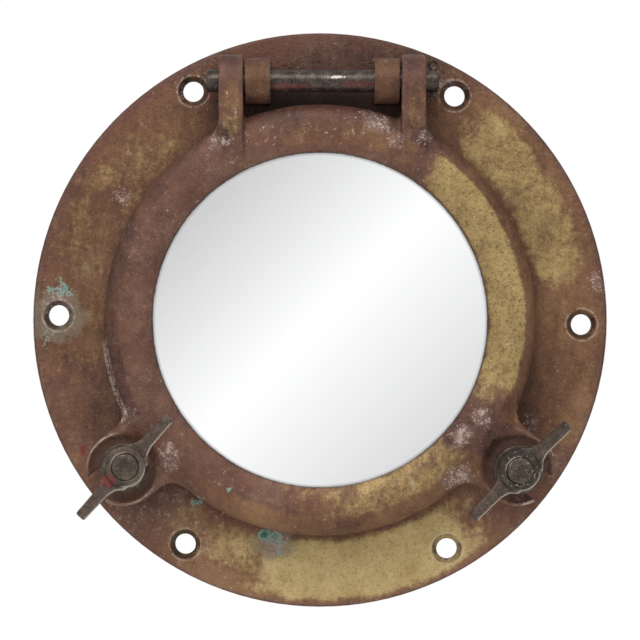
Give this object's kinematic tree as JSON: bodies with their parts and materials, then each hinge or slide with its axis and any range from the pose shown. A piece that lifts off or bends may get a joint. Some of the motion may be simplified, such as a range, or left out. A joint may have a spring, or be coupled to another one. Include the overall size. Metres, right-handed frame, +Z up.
{
  "type": "porthole window",
  "caption": "Round ship's window in a bolted bronze flange, with a silvered pane in a top-hinged sash that swings open and swing bolts with wing nuts that clamp it shut.",
  "frame": {"origin": "centre of the flange's back face, which is the mounting plane", "axes": "+Z up the bulkhead, +Y out through the back of the window along the spigot, -Y towards the viewer, +X to the viewer's right"},
  "size_m": [0.305, 0.1012, 0.305],
  "materials": {
    "casting": "aged bronze with brown patina and bare yellow patches",
    "fittings": "dark oxidised bronze with worn edges",
    "hinge_steel": "dark, lightly rusted",
    "inner_brass": "dull brass",
    "mirror": "silvered glass",
    "seal": "matt black"
  },
  "bodies": {
    "frame": {"main_frame": "casting", "spigot": "casting", "hinge_pin": "hinge_steel", "hinge_split_pin": "hinge_steel", "left_pivot_pin": "fittings", "right_pivot_pin": "fittings"},
    "sash": {"sash_ring": "casting", "mirror_pane": "mirror", "glazing_gasket": "seal", "retaining_ring": "inner_brass", "retaining_screws": "inner_brass", "sash_gasket": "seal"},
    "left_bolt": {"left_dog_bolt": "fittings"},
    "left_washer": {"left_washer": "fittings"},
    "left_nut": {"left_wing_nut": "fittings"},
    "right_bolt": {"right_dog_bolt": "fittings"},
    "right_washer": {"right_washer": "fittings"},
    "right_nut": {"right_wing_nut": "fittings"}
  },
  "joints": [
    {"name": "sash_hinge", "type": "hinge", "parent": "frame", "child": "sash", "pos_m": [0, -0.0232, 0.126], "axis": [-1, 0, 0], "range_deg": [0, 105]},
    {"name": "left_dog_swing", "type": "hinge", "parent": "frame", "child": "left_bolt", "pos_m": [-0.10382, -0.016, -0.07824], "axis": [0.6018, 0, -0.7986], "range_deg": [0, 95]},
    {"name": "left_washer_slide", "type": "slide", "parent": "left_bolt", "child": "left_washer", "axis": [0.0696, -0.9962, 0.0525], "range_m": [-0.0106, 0]},
    {"name": "left_nut_turn", "type": "hinge", "parent": "left_washer", "child": "left_nut", "pos_m": [-0.10382, -0.016, -0.07824], "axis": [0.0696, -0.9962, 0.0525], "range_deg": [-1890, 0]},
    {"name": "right_dog_swing", "type": "hinge", "parent": "frame", "child": "right_bolt", "pos_m": [0.10382, -0.016, -0.07824], "axis": [0.6018, 0, 0.7986], "range_deg": [0, 90]},
    {"name": "right_washer_slide", "type": "slide", "parent": "right_bolt", "child": "right_washer", "axis": [0, -1, 0], "range_m": [-0.0118, 0]},
    {"name": "right_nut_turn", "type": "hinge", "parent": "right_washer", "child": "right_nut", "pos_m": [0.10382, -0.016, -0.07824], "axis": [0, -1, 0], "range_deg": [-2106, 0]}
  ],
  "couplings": [
    {"joint": "left_washer_slide", "follows": "left_nut_turn", "m_per_rad": 0.00031831},
    {"joint": "right_washer_slide", "follows": "right_nut_turn", "m_per_rad": 0.00031831}
  ]
}
